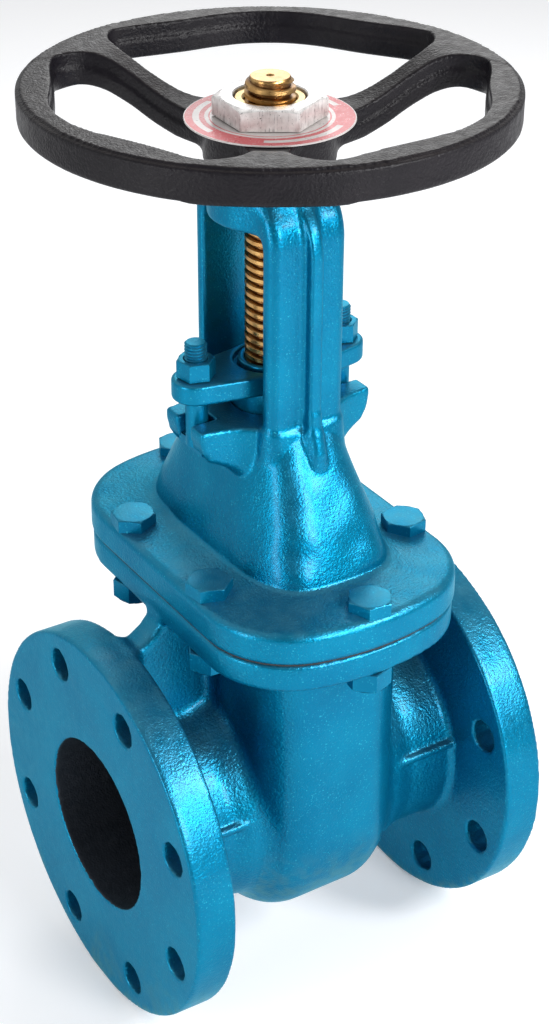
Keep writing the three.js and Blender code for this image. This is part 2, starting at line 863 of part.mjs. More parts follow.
function handwheel() {
  const hub = turned(
    [
      [0, wheel.hubBottom],
      [wheel.bossRadius - 2, wheel.hubBottom],
      [wheel.bossRadius, wheel.hubBottom + 2],
      [wheel.bossRadius, wheel.hubTop - 7],
      [wheel.webRadius - 1, wheel.hubTop - 5],
      [wheel.webRadius, wheel.hubTop],
      [0, wheel.hubTop],
    ],
    32,
  );
  const spokes = [0, 120, 240].map((turn) => wheelSpoke().rotate([0, 0, turn + wheel.firstSpoke]));
  const bore = cylinder(sleeveSize.radius + 0.4, wheel.hubBottom - 1, wheel.hubTop + 1, 24);
  const seat = keySeat(10, keySize.outer + GAP, wheel.hubBottom - 1, wheel.hubTop + 1);
  return cut(union(wheelRim(), hub, ...spokes), bore, seat);
}

const plateBottom = wheel.hubTop + GAP;
const plateTop = plateBottom + wheel.plateThickness;

const namePlate = () => ring(sleeveSize.radius + 0.8, wheel.plateRadius, plateBottom, plateTop, 32);

function handwheelNut() {
  const seat = plateTop + GAP;
  const bore = cylinder(sleeveSize.radius + 0.4, seat - 1, wheel.nutTop + 1, 24);
  // one flat faces along the first spoke
  return cut(hexHead(wheel.nut, seat, wheel.nutTop), bore).rotate([0, 0, wheel.firstSpoke]);
}

// ---------------------------------------------------------------- finishes

function finish(color, roughness, metalness) {
  return new THREE.MeshStandardMaterial({ color, roughness, metalness });
}

const bluePaint = () => finish(0x0f6f9f, 0.4, 0.25);
const blackEnamel = () => finish(0x1c1b20, 0.45, 0);
const brass = () => finish(0xb08a3c, 0.3, 1);
const bronze = () => finish(0xa8692c, 0.35, 1);
const steel = () => finish(0xc4c4c6, 0.3, 1);
const castIron = () => finish(0x3b3a3c, 0.7, 0.4);
const graphite = () => finish(0x24252a, 0.8, 0);
const gasketSheet = () => finish(0x2b2f36, 0.9, 0);
const platePrint = () => finish(0xd8434a, 0.4, 0);

// ---------------------------------------------------------------- assembly

const valve = new THREE.Group();

function place(name, solid, material) {
  const mesh = new THREE.Mesh(toGeometry(solid), material);
  mesh.name = name;
  valve.add(mesh);
  return mesh;
}

place("body", body(), bluePaint());
place("seat_ring_inlet", seatRing().mirror([1, 0, 0]), bronze());
place("seat_ring_outlet", seatRing(), bronze());
place("wedge", wedge(), castIron());
place("wedge_face_ring_inlet", wedgeRing().mirror([1, 0, 0]), bronze());
place("wedge_face_ring_outlet", wedgeRing(), bronze());
place("stem", stem(), brass());
place("bonnet_gasket", gasket(), gasketSheet());
place("bonnet", bonnet(), bluePaint());
jointBolts.forEach(([x, y], n) => {
  place(`bonnet_bolt_${n + 1}`, jointBolt(), bluePaint()).position.set(x, y, 0);
  place(`bonnet_nut_${n + 1}`, jointNut(), bluePaint()).position.set(x, y, 0);
});
place("backseat_bush", backseatBush(), bronze());
for (let n = 0; n < box.packingCount; n++) {
  place(`packing_ring_${n + 1}`, packingRing(n), graphite());
}
place("gland", gland(), bluePaint());
for (const [side, x] of [["left", -box.studX], ["right", box.studX]]) {
  place(`gland_bolt_${side}`, glandBolt(), bluePaint()).position.x = x;
  place(`gland_nut_${side}`, glandNut(), bluePaint()).position.x = x;
}
place("yoke_sleeve", yokeSleeve(), brass());
place("thrust_washer", thrustWasher(), bronze());
place("sleeve_retainer", sleeveRetainer(), steel());
place("handwheel", handwheel(), blackEnamel());
place("handwheel_key", wheelKey(), steel());
place("name_plate", namePlate(), platePrint());
place("handwheel_nut", handwheelNut(), steel());

export default valve;
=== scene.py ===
"""The visual model of a flanged gate valve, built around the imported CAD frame.

Castings are contoured from distance fields, so that they have real fillets; machined
pieces are turned, and threads are cut as helices. Working units are millimetres.
"""

import math

import bmesh
import bpy
import numpy as np
from mathutils import Matrix, Vector


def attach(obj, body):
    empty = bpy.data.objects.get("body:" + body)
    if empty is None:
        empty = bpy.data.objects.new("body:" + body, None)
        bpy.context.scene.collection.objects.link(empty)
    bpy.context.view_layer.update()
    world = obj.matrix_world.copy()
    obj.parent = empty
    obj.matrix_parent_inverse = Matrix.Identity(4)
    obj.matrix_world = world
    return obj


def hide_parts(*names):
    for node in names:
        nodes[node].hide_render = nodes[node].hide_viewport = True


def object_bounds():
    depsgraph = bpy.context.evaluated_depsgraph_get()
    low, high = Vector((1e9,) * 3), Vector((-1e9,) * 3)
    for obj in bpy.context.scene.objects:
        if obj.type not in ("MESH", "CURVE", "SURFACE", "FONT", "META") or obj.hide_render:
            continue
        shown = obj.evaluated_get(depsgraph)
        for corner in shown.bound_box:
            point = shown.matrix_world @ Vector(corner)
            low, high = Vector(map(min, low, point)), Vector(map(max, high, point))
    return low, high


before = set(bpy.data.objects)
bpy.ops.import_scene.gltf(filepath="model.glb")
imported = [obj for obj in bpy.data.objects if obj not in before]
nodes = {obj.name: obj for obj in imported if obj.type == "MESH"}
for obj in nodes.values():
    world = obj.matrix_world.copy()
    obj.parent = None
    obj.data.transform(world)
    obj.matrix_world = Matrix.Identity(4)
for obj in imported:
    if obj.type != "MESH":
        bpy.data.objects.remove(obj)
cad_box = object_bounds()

MM = 0.001
scene = bpy.context.scene


# ------------------------------------------------------------------ distance fields


class Grid:
    """A block of space sampled evenly, in millimetres."""

    def __init__(self, low, high, step):
        self.low = np.array(low, float)
        self.step = step
        axes = [np.arange(a, b + step, step, dtype=np.float32) for a, b in zip(low, high)]
        self.x = axes[0][:, None, None]
        self.y = axes[1][None, :, None]
        self.z = axes[2][None, None, :]
        self.shape = tuple(len(axis) for axis in axes)

    def full(self, field):
        return np.broadcast_to(field, self.shape)


def meet(a, b, rounding=0.0):
    """What two solids share, with the new edge rounded."""
    if rounding <= 0:
        return np.maximum(a, b)
    u = np.maximum(a + rounding, 0)
    v = np.maximum(b + rounding, 0)
    return np.minimum(np.maximum(a, b), -rounding) + np.sqrt(u * u + v * v)


def join(a, b, fillet=0.0):
    """Two solids as one, with a fillet in the corner between them."""
    return -meet(-a, -b, fillet)


def cut(a, b, rounding=0.0):
    return meet(a, -b, rounding)


def disc(radial, radius, along, low, high, rounding=0.0):
    """A cylinder from low to high along its axis."""
    middle, half = (low + high) / 2, (high - low) / 2
    return meet(radial - radius, np.abs(along - middle) - half, rounding)


def polygon(u, v, points):
    """Distance to a closed outline in the plane of u and v."""
    nearest = np.float32(1e9)
    inside = False
    for (u0, v0), (u1, v1) in zip(points, points[1:] + points[:1]):
        du, dv = u1 - u0, v1 - v0
        share = np.clip(((u - u0) * du + (v - v0) * dv) / (du * du + dv * dv), 0, 1)
        gap = (u - u0 - share * du) ** 2 + (v - v0 - share * dv) ** 2
        nearest = np.minimum(nearest, gap)
        if dv:
            crossing = ((v0 > v) != (v1 > v)) & (u < du * (v - v0) / dv + u0)
            inside = inside ^ crossing
    return np.where(inside, -1, 1) * np.sqrt(nearest)


def oblong(x, y, half_x, half_y, power):
    """Below zero inside a rounded oblong, the squarer the higher the power.

    It grows with the share of the half widths, far more slowly than a distance does, so a
    fillet against it comes out broad.
    """
    growth = 4
    return growth * (((x / half_x) ** power + (y / half_y) ** power) ** (1 / power) - 1)


def eased(at, stations, values, width=4.0):
    """Values read between stations, with the corners smoothed over a width."""
    offsets = np.linspace(-width, width, 7)
    return sum(np.interp(at + o, stations, values) for o in offsets).astype(np.float32) / 7


def smoothstep(low, high, at):
    t = np.clip((at - low) / (high - low), 0, 1)
    return t * t * (3 - 2 * t)


def ripple(x, y, z):
    """A slow unevenness between -1 and 1, as sand castings have."""
    a = np.sin(0.21 * x + 1.7 * np.sin(0.11 * y + 0.4) + 0.6)
    b = np.sin(0.19 * y + 1.5 * np.sin(0.13 * z + 1.1) + 2.1)
    c = np.sin(0.23 * z + 1.6 * np.sin(0.12 * x + 2.3) + 4.0)
    return (a + b + c) / 3


def contour(grid, field):
    """Vertices and quads of the field's zero surface, one vertex to a cell."""
    field = np.ascontiguousarray(grid.full(field), dtype=np.float32)
    inside = field < 0
    corners = [(i, j, k) for i in (0, 1) for j in (0, 1) for k in (0, 1)]
    size = np.array(field.shape) - 1

    def shifted(values, corner):
        i, j, k = corner
        return values[i : i + size[0], j : j + size[1], k : k + size[2]]

    count = sum(shifted(inside, c).astype(np.int8) for c in corners)
    mixed = (count > 0) & (count < len(corners))
    cells = np.argwhere(mixed)
    number = np.full(mixed.shape, -1, np.int64)
    number[mixed] = np.arange(len(cells))
    total = np.zeros((len(cells), 3))
    crossings = np.zeros((len(cells), 1))
    values = {c: field[tuple((cells + c).T)] for c in corners}
    for a in corners:
        for axis in range(3):
            if a[axis]:
                continue
            b = tuple(1 if n == axis else a[n] for n in range(3))
            va, vb = values[a], values[b]
            crossed = (va < 0) != (vb < 0)
            share = np.where(crossed, va / np.where(crossed, va - vb, 1), 0)
            point = np.array(a, float) + share[:, None] * (np.array(b) - np.array(a))
            total += crossed[:, None] * point
            crossings += crossed[:, None]
    vertices = grid.low + grid.step * (cells + total / crossings)
    quads = []
    for axis in range(3):
        one, two = (axis + 1) % 3, (axis + 2) % 3
        near = [slice(None)] * 3
        far = [slice(None)] * 3
        near[axis], far[axis] = slice(0, -1), slice(1, None)
        changed = inside[tuple(near)] != inside[tuple(far)]
        edges = np.argwhere(changed)
        edges = edges[(edges[:, one] > 0) & (edges[:, two] > 0)]
        edges = edges[(edges[:, one] < size[one]) & (edges[:, two] < size[two])]
        step_one, step_two = np.eye(3, dtype=int)[one], np.eye(3, dtype=int)[two]
        around = [edges - step_one - step_two, edges - step_two, edges, edges - step_one]
        quad = np.stack([number[tuple(cell.T)] for cell in around], 1)
        outward = inside[tuple(edges.T)]
        quads.append(np.where(outward[:, None], quad, quad[:, ::-1]))
    return vertices, np.concatenate(quads)


# ------------------------------------------------------------------ making pieces


def add_piece(name, mesh, body, material, replaced):
    """A mesh in metres as a piece that rides on a body and stands for CAD nodes."""
    piece = bpy.data.objects.new(name, mesh)
    scene.collection.objects.link(piece)
    mesh.materials.append(material)
    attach(piece, body)
    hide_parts(*replaced)


def smooth(mesh, sharp_degrees=None):
    """Smooth shading, kept sharp across edges that turn by more than this."""
    mesh.shade_smooth()
    if sharp_degrees is not None:
        mesh.set_sharp_from_angle(angle=math.radians(sharp_degrees))


def contoured_mesh(name, grid, field, keep=1.0):
    """The field's surface as a mesh in metres, thinned to a share of its faces."""
    vertices, quads = contour(grid, field)
    mesh = bpy.data.meshes.new(name)
    mesh.from_pydata(vertices * MM, [], quads)
    if keep < 1:
        mesh = thinned(mesh, name, keep)
    smooth(mesh)
    return mesh


def thinned(mesh, name, keep):
    """A copy with a share of the faces, most of them taken from flat places."""
    holder = bpy.data.objects.new(name + "_dense", mesh)
    scene.collection.objects.link(holder)
    modifier = holder.modifiers.new("thin", "DECIMATE")
    modifier.ratio = keep
    graph = bpy.context.evaluated_depsgraph_get()
    thin = bpy.data.meshes.new_from_object(holder.evaluated_get(graph))
    bpy.data.objects.remove(holder)
    bpy.data.meshes.remove(mesh)
    thin.name = name
    return thin


# Each row of a thread is how far along the pitch it lies and how near the crest it is.
BOLT_THREAD = [(0.06, 1.0), (0.18, 1.0), (0.5, 0.0), (0.74, 0.0)]
STEM_THREAD = [(0.04, 0.0), (0.15, 0.9), (0.19, 1.0), (0.58, 1.0), (0.62, 0.9), (0.74, 0.0)]
THREAD_END_CUT = 0.1  # how far a thread's end faces lie inside its root
WELD = 0.004  # vertices nearer than this become one


class Builder:
    """Collects turned, threaded and hexagonal shapes in millimetres into one mesh."""

    def __init__(self):
        self.mesh = bmesh.new()

    def rings(self, rings, closed=False):
        """A skin over rings of points. A ring of one point closes an end."""
        made = [[self.mesh.verts.new(p) for p in ring] for ring in rings]
        pairs = list(zip(made, made[1:] + made[:1])) if closed else list(zip(made, made[1:]))
        for low, high in pairs:
            count = max(len(low), len(high))
            for i in range(count):
                j = (i + 1) % count
                if len(low) == 1:
                    self.mesh.faces.new((low[0], high[j], high[i]))
                elif len(high) == 1:
                    self.mesh.faces.new((low[i], low[j], high[0]))
                else:
                    self.mesh.faces.new((low[i], low[j], high[j], high[i]))

    def turn(self, profile, sides, closed=False):
        """Turns [radius, height] points about Z. Radius 0 closes an end."""
        angles = [math.tau * n / sides for n in range(sides)]
        rings = [
            [(r * math.cos(a), r * math.sin(a), z) for a in angles] if r else [(0, 0, z)]
            for r, z in profile
        ]
        self.rings(rings, closed)

    def hexagon(self, flats, seat, end, bore=0.0, turn=0.0, per_side=10, chamfer=15):
        """A hexagon from its seat to its chamfered end, which may point down."""
        face = 0.487 * flats
        slope = math.tan(math.radians(chamfer)) * (1 if end > seat else -1)
        angles = [math.tau * n / (6 * per_side) for n in range(6 * per_side)]
        radii = [flats / 2 / math.cos((a + math.pi / 6) % (math.pi / 3) - math.pi / 6) for a in angles]

        def ring(radius_at, height_at):
            points = []
            for a, r in zip(angles, radii):
                radius = radius_at(r)
                b = a + turn
                points.append((radius * math.cos(b), radius * math.sin(b), height_at(r)))
            return points

        seat_inset, end_inset = 0.5, 0.45
        face_out, face_in, face_drop = 0.3, 0.4, 0.25
        sink_width, sink_depth = 0.6, 1.8
        rounding = 0.35 if end > seat else -0.35
        rings = [
            ring(lambda r: r - seat_inset, lambda r: seat),
            ring(lambda r: r, lambda r: seat + rounding),
            ring(lambda r: r, lambda r: end - (r - face) * slope - rounding),
            ring(lambda r: r - end_inset, lambda r: end - (r - end_inset - face) * slope),
            ring(lambda r: face + face_out, lambda r: end - face_drop * slope),
            ring(lambda r: face - face_in, lambda r: end),
        ]
        if bore:
            rings.append(ring(lambda r: bore + sink_width, lambda r: end))
            rings.append(ring(lambda r: bore, lambda r: end - sink_depth * rounding))
            rings.append(ring(lambda r: bore, lambda r: seat))
            self.rings(rings, closed=True)
        else:
            self.rings([[(0, 0, seat)], *rings, [(0, 0, end)]])

    def threaded(self, low, high, crest, root, pitch, sides, hand=1, shape=BOLT_THREAD):
        """A threaded rod. Both ends are chamfered down to the root."""
        turns = math.ceil((high - low) / pitch) + 2
        end_radius = root - THREAD_END_CUT
        end_slope = 1.1
        # How far each vertex lies from the crest toward the root, used by materials to paint shade in the
        # roots.
        groove = self.mesh.verts.layers.float.new("groove")
        rows = []
        for step in range(sides * turns + 1):
            angle = hand * math.tau * step / sides
            row = []
            for height, crestness in shape:
                z = low - pitch + pitch * (step / sides + height)
                z = min(max(z, low), high)
                reach = min(z - low, high - z)
                radius = min(root + (crest - root) * crestness, end_radius + end_slope * reach)
                vertex = self.mesh.verts.new((radius * math.cos(angle), radius * math.sin(angle), z))
                vertex[groove] = 1 - crestness
                row.append(vertex)
            rows.append(row)
        for step in range(sides * turns):
            here, there = rows[step], rows[step + 1]
            for level in range(len(shape) - 1):
                self.mesh.faces.new((here[level], there[level], there[level + 1], here[level + 1]))
            if step + sides < sides * turns:
                above, after = rows[step + sides], rows[step + sides + 1]
                self.mesh.faces.new((here[-1], there[-1], after[0], above[0]))
        angles = [hand * math.tau * n / sides for n in range(sides)]
        for z in (low, high):
            ring = [(end_radius * math.cos(a), end_radius * math.sin(a), z) for a in angles]
            self.rings([ring, [(0, 0, z)]])
        bmesh.ops.remove_doubles(self.mesh, verts=self.mesh.verts, dist=WELD)

    def box(self, low, high, bevel):
        """A box between two corners, with its edges softened."""
        centre = (Vector(low) + Vector(high)) / 2
        size = Vector(high) - Vector(low)
        matrix = Matrix.Translation(centre) @ Matrix.Diagonal((*size, 1))
        made = bmesh.ops.create_cube(self.mesh, size=1, matrix=matrix)
        edges = list({edge for v in made["verts"] for edge in v.link_edges})
        bmesh.ops.bevel(self.mesh, geom=edges, offset=bevel, segments=2, affect="EDGES")

    def finish(self, name, at=(0, 0, 0), sharp_degrees=32):
        """The mesh in metres, moved into place, with its faces turned outward."""
        bmesh.ops.recalc_face_normals(self.mesh, faces=self.mesh.faces)
        bmesh.ops.transform(
            self.mesh,
            matrix=Matrix.Scale(MM, 4) @ Matrix.Translation(at),
            verts=self.mesh.verts,
        )
        mesh = bpy.data.meshes.new(name)
        self.mesh.to_mesh(mesh)
        self.mesh.free()
        smooth(mesh, sharp_degrees)
        return mesh


def set_attribute(mesh, name, values):
    attribute = mesh.attributes.new(name, "FLOAT", "POINT")
    attribute.data.foreach_set("value", np.ascontiguousarray(values, dtype=np.float32))


def points_of(mesh):
    """Vertex places in millimetres."""
    flat = np.zeros(3 * len(mesh.vertices), np.float32)
    mesh.vertices.foreach_get("co", flat)
    return flat.reshape(-1, 3) / MM


# ------------------------------------------------------------------ materials


class Shader:
    """A node material put together from short calls. Lengths are in metres."""

    def __init__(self, name):
        self.material = bpy.data.materials.new(name)
        self.material.use_nodes = True
        self.tree = self.material.node_tree
        self.surface = self.tree.nodes["Principled BSDF"]
        self.place = self.add("ShaderNodeTexCoord").outputs["Object"]

    def add(self, kind, **settings):
        node = self.tree.nodes.new(kind)
        for key, value in settings.items():
            setattr(node, key, value)
        return node

    def put(self, socket, value):
        if isinstance(value, bpy.types.NodeSocket):
            self.tree.links.new(value, socket)
        elif socket.type == "RGBA" and len(value) == 3:
            socket.default_value = (*value, 1)
        else:
            socket.default_value = value

    def set(self, **values):
        for key, value in values.items():
            self.put(self.surface.inputs[key.replace("_", " ")], value)

    def noise(self, size, detail, stretch=None, place=None):
        """Noise whose features are about this size."""
        node = self.add("ShaderNodeTexNoise")
        place = place or self.place
        if stretch:
            mapping = self.add("ShaderNodeMapping")
            self.put(mapping.inputs["Vector"], place)
            mapping.inputs["Scale"].default_value = stretch
            place = mapping.outputs["Vector"]
        self.put(node.inputs["Vector"], place)
        node.inputs["Scale"].default_value = 1 / size
        node.inputs["Detail"].default_value = detail
        return node.outputs["Fac"]

    def cells(self, size, output="Distance"):
        """Cells about this size, as each place's distance to a centre or its cell's colour."""
        node = self.add("ShaderNodeTexVoronoi")
        self.put(node.inputs["Vector"], self.place)
        node.inputs["Scale"].default_value = 1 / size
        return node.outputs[output]

    def math(self, operation, a, b=0.0):
        node = self.add("ShaderNodeMath", operation=operation)
        self.put(node.inputs[0], a)
        self.put(node.inputs[1], b)
        return node.outputs[0]

    def product(self, a, b):
        return self.math("MULTIPLY", a, b)

    def length(self, a, b):
        return self.math("SQRT", self.math("ADD", self.product(a, a), self.product(b, b)))

    def between(self, value, low, high, to_low=0.0, to_high=1.0):
        """A range of values carried over to another, and held at its ends."""
        node = self.add("ShaderNodeMapRange", clamp=True)
        self.put(node.inputs["Value"], value)
        for key, number in (("From Min", low), ("From Max", high), ("To Min", to_low), ("To Max", to_high)):
            node.inputs[key].default_value = number
        return node.outputs["Result"]

    def varied(self, size, detail, to_low=0.0, to_high=1.0):
        """Noise stretched to fill a range of values."""
        return self.between(self.noise(size, detail), 0.3, 0.7, to_low, to_high)

    def mix(self, share, a, b):
        """A colour between two others."""
        node = self.add("ShaderNodeMix", data_type="RGBA")
        self.put(node.inputs["Factor"], share)
        self.put(node.inputs[6], a)
        self.put(node.inputs[7], b)
        return node.outputs[2]

    def attribute(self, name):
        return self.add("ShaderNodeAttribute", attribute_name=name).outputs["Fac"]

    def upward(self):
        """From 0 on walls and below to 1 on faces that look up."""
        normal = self.add("ShaderNodeNewGeometry").outputs["Normal"]
        parts = self.add("ShaderNodeSeparateXYZ")
        self.put(parts.inputs[0], normal)
        return parts.outputs["Z"]

    def parts(self):
        """The place's X, Y and Z."""
        parts = self.add("ShaderNodeSeparateXYZ")
        self.put(parts.inputs[0], self.place)
        return parts.outputs["X"], parts.outputs["Y"], parts.outputs["Z"]

    def together(self, x, y, z):
        node = self.add("ShaderNodeCombineXYZ")
        for socket, value in zip(node.inputs, (x, y, z)):
            self.put(socket, value)
        return node.outputs["Vector"]

    def bump(self, height, depth, strength, below=None):
        """A normal bent by a height, over the normal below it."""
        node = self.add("ShaderNodeBump")
        self.put(node.inputs["Height"], height)
        node.inputs["Distance"].default_value = depth
        self.put(node.inputs["Strength"], strength)
        if below is not None:
            self.put(node.inputs["Normal"], below)
        return node.outputs["Normal"]


PAINT_DEEP = (0.0008, 0.142, 0.27)
PAINT_PALE = (0.0014, 0.178, 0.315)
# Pale cyan for metallic flakes, painted in as glints of light.
PAINT_FLAKE_GLINT = (0.06, 0.6, 0.75)
# Pale grey-blue for upward faces: partly dusting, partly a painted sheen of light from above.
PAINT_DUST_AND_SHEEN = (0.09, 0.29, 0.38)
# Grey-green for worn patches on the rims, and for painted floor light low on the housing.
PAINT_WORN_AND_FLOOR_GLOW = (0.1, 0.2, 0.235)
PAINT_SCUFFED = (0.05, 0.055, 0.06)
PAINT_EDGE = (0.12, 0.75, 0.85)
IRON_DARK = (0.02, 0.026, 0.036)
IRON_PALE = (0.055, 0.063, 0.078)
RAW_BORE = 0.0514  # the radius inside which the bore is unpainted


def paint_colour(s, dust_and_sheen):
    """The blue, with slow changes of tone, fine flakes painted in as pale glints, and a grey dusting with a
    painted sky sheen on upward faces.
    """
    slow = s.between(s.noise(0.04, 3), 0.35, 0.68)
    blue = s.mix(slow, PAINT_DEEP, PAINT_PALE)
    # Pale flakes painted in as glints: the sparkle of the metallic paint, shown whatever the light.
    flake_glint = s.between(s.cells(0.0006, "Color"), 0.82, 0.98)
    blue = s.mix(s.product(flake_glint, 0.4), blue, PAINT_FLAKE_GLINT)
    mottled = s.between(s.noise(0.012, 4), 0.3, 0.75, 0.25, 1.0)
    # Upward faces are painted paler: partly dusting, partly a painted sheen of the bright sky above them.
    up = s.between(s.upward(), 0.35, 0.98, 0.0, dust_and_sheen)
    return s.mix(s.product(up, mottled), blue, PAINT_DUST_AND_SHEEN)


def pebbled(s, size):
    """Orange peel: small round swells at two sizes, sharper than plain noise."""
    coarse = s.varied(size, 1)
    fine = s.noise(0.45 * size, 1)
    return s.math("ADD", coarse, s.product(fine, 0.6))


def paint_roughness(s):
    return s.varied(0.006, 3, 0.32, 0.42)


def lay_paint(s, colour, roughness, normal):
    """A metallic base under a thin clear coat."""
    s.set(
        Base_Color=colour,
        Metallic=0.74,
        Specular_IOR_Level=0.05,
        Specular_Tint=PAINT_EDGE,
        Roughness=roughness,
        Normal=normal,
        Coat_Weight=0.12,
        Coat_Roughness=0.2,
    )


def small_part_paint(name):
    """Blue paint on the gland and the fasteners, smoother than on the castings."""
    s = Shader(name)
    lay_paint(s, paint_colour(s, 0.55), paint_roughness(s), s.bump(pebbled(s, 0.0013), 0.00016, 0.3))
    return s.material


def casting_paint(name, bored):
    """Blue paint that follows a casting's roughness, worn and scuffed, and paler low on the housing with
    painted floor light; bored adds a raw bore.
    """
    s = Shader(name)
    peel = s.attribute("peel")
    grain = s.bump(pebbled(s, 0.0012), 0.00018, s.between(peel, 0, 1, 0.35, 0.8))
    normal = s.bump(pebbled(s, 0.0023), 0.0004, s.between(peel, 0.3, 1.0, 0.0, 0.8), grain)
    # Worn patches on the rims and painted floor light low on the housing share this mask and colour.
    wear_and_floor_glow = s.product(s.attribute("wear_and_floor_glow"), s.between(s.noise(0.007, 5), 0.42, 0.62))
    scuff = s.product(s.attribute("scuff"), s.between(s.noise(0.0022, 5), 0.56, 0.66))
    colour = s.mix(wear_and_floor_glow, paint_colour(s, 0.5), PAINT_WORN_AND_FLOOR_GLOW)
    colour = s.mix(scuff, colour, PAINT_SCUFFED)
    roughness = paint_roughness(s)
    if bored:
        _, y, z = s.parts()
        ragged = s.math("ADD", s.length(y, z), s.product(s.noise(0.006, 2), 0.0004))
        raw = s.math("MAXIMUM", s.math("LESS_THAN", ragged, RAW_BORE), s.attribute("raw"))
        colour = s.mix(raw, colour, s.mix(s.noise(0.005, 4), IRON_DARK, IRON_PALE))
        roughness = s.math("MAXIMUM", roughness, s.product(raw, 0.6))
    lay_paint(s, colour, roughness, normal)
    return s.material


def black_enamel():
    """Satin black with a grey dusting and a painted grey sheen in patches on upward faces."""
    s = Shader("wheel_enamel")
    black, soft_black, dust_and_sheen = (0.0045, 0.0038, 0.0058), (0.008, 0.0066, 0.009), (0.026, 0.021, 0.020)
    tone = s.mix(s.between(s.noise(0.02, 3), 0.35, 0.7), black, soft_black)
    # Upward faces are painted grey in patches: partly dusting, partly a painted sheen of light from above.
    dust_sheen_share = s.product(s.between(s.upward(), 0.6, 0.98), s.varied(0.006, 5, 0.35, 0.9))
    s.set(
        Base_Color=s.mix(s.product(dust_sheen_share, 0.7), tone, dust_and_sheen),
        Roughness=s.varied(0.005, 3, 0.36, 0.5),
        Normal=s.bump(pebbled(s, 0.0015), 0.00035, 0.5),
        Specular_IOR_Level=0.18,
    )
    return s.material


def turned_metal(name, light, dark, roughness, root_shade_colour=None):
    """Bare metal with fine tool rings and slow staining, and painted shade in thread roots where a root
    colour is given.
    """
    s = Shader(name)
    x, y, z = s.parts()
    rings = s.noise(0.00045, 2, place=s.together(s.product(x, 0.02), s.length(x, y), z))
    colour = s.mix(s.varied(0.006, 4), dark, light)
    if root_shade_colour:
        # Thread roots are painted darker: painted shade in the grooves, deepest at the root.
        colour = s.mix(s.product(s.attribute("groove"), 0.8), colour, root_shade_colour)
    s.set(
        Base_Color=colour,
        Metallic=1.0,
        Roughness=s.varied(0.003, 3, roughness - 0.07, roughness + 0.09),
        Normal=s.bump(rings, 0.00006, 0.6),
    )
    return s.material


def plated_steel():
    """Bright zinc over sawn flats: upright strokes, dark specks and slow clouding."""
    s = Shader("nut_plating")
    clouded, bright = (0.66, 0.63, 0.61), (0.9, 0.88, 0.86)
    stroke_colour, speck_colour = (0.2, 0.17, 0.18), (0.03, 0.026, 0.025)
    strokes = s.noise(0.0007, 3, stretch=(1.0, 1.0, 0.06))
    worn = s.product(s.between(strokes, 0.52, 0.68), s.between(s.noise(0.003, 3), 0.4, 0.6))
    specks = s.between(s.noise(0.0011, 3), 0.66, 0.72)
    tone = s.mix(s.varied(0.004, 4), clouded, bright)
    tone = s.mix(s.product(worn, 0.75), tone, stroke_colour)
    s.set(
        Base_Color=s.mix(specks, tone, speck_colour),
        Metallic=0.6,
        Roughness=s.varied(0.0035, 4, 0.28, 0.45),
        Normal=s.bump(s.math("ADD", strokes, s.noise(0.0022, 2)), 0.00014, 0.5),
    )
    return s.material


def raw_iron():
    s = Shader("raw_iron")
    s.set(
        Base_Color=s.mix(s.noise(0.006, 5), (0.02, 0.021, 0.023), (0.055, 0.052, 0.05)),
        Metallic=0.5,
        Roughness=s.varied(0.003, 3, 0.55, 0.75),
        Normal=s.bump(s.noise(0.0018, 3), 0.0005, 0.6),
    )
    return s.material


def graphite():
    """Packing: a lumpy braid of dull graphite."""
    s = Shader("graphite_braid")
    weave = s.cells(0.0022)
    s.set(
        Base_Color=s.mix(s.between(weave, 0.1, 0.6), (0.045, 0.045, 0.05), (0.012, 0.012, 0.014)),
        Roughness=s.varied(0.002, 2, 0.45, 0.7),
        Normal=s.bump(weave, 0.0006, 0.8),
    )
    return s.material


def gasket_sheet():
    """Pressed sheet with fibres that run mostly along Y."""
    s = Shader("gasket_fibre")
    fibres = s.noise(0.0007, 4, stretch=(1.0, 0.35, 1.0))
    s.set(
        Base_Color=s.mix(s.between(fibres, 0.35, 0.65), (0.012, 0.016, 0.02), (0.03, 0.036, 0.042)),
        Roughness=s.between(fibres, 0.3, 0.7, 0.75, 0.92),
        Normal=s.bump(fibres, 0.0002, 0.5),
    )
    return s.material


def plate_print():
    """A printed disc: red bands on pale metal, and a ring of red dashes."""
    s = Shader("plate_print")
    x, y, _ = s.parts()
    radius = s.length(x, y)
    angle = s.math("ARCTAN2", y, x)

    def band(inner, outer):
        return s.product(s.math("GREATER_THAN", radius, inner), s.math("LESS_THAN", radius, outer))

    arcs = s.math("GREATER_THAN", s.math("SINE", s.product(angle, 3.0)), -0.35)
    arcs = s.product(arcs, band(0.0352, 0.0385))
    red = s.math("MAXIMUM", band(0.0325, 0.0424), band(0.0298, 0.0306))
    red = s.product(red, s.math("SUBTRACT", 1.0, arcs))
    red = s.product(red, s.between(s.noise(0.0012, 4), 0.28, 0.4))
    pale = s.mix(s.varied(0.01, 3), (0.5, 0.46, 0.45), (0.6, 0.56, 0.54))
    s.set(
        Base_Color=s.mix(red, pale, (0.5, 0.07, 0.08)),
        Metallic=0.1,
        Roughness=s.varied(0.004, 3, 0.26, 0.36),
        Normal=s.bump(s.noise(0.003, 2), 0.00005, 0.3),
    )
    return s.material


body_paint = casting_paint("body_paint", bored=True)
bonnet_paint = casting_paint("bonnet_paint", bored=False)
fastener_paint = small_part_paint("fastener_paint")
enamel = black_enamel()
brass = turned_metal("sleeve_brass", (0.6, 0.43, 0.19), (0.42, 0.29, 0.11), 0.3)
# The stem's thread roots carry painted shade.
thread_bronze = turned_metal(
    "stem_bronze", (0.56, 0.35, 0.135), (0.4, 0.21, 0.07), 0.3, root_shade_colour=(0.12, 0.05, 0.018)
)
bronze = turned_metal("seat_bronze", (0.5, 0.27, 0.1), (0.3, 0.15, 0.06), 0.32)
plating = plated_steel()
iron = raw_iron()
braid = graphite()
fibre = gasket_sheet()
printed = plate_print()


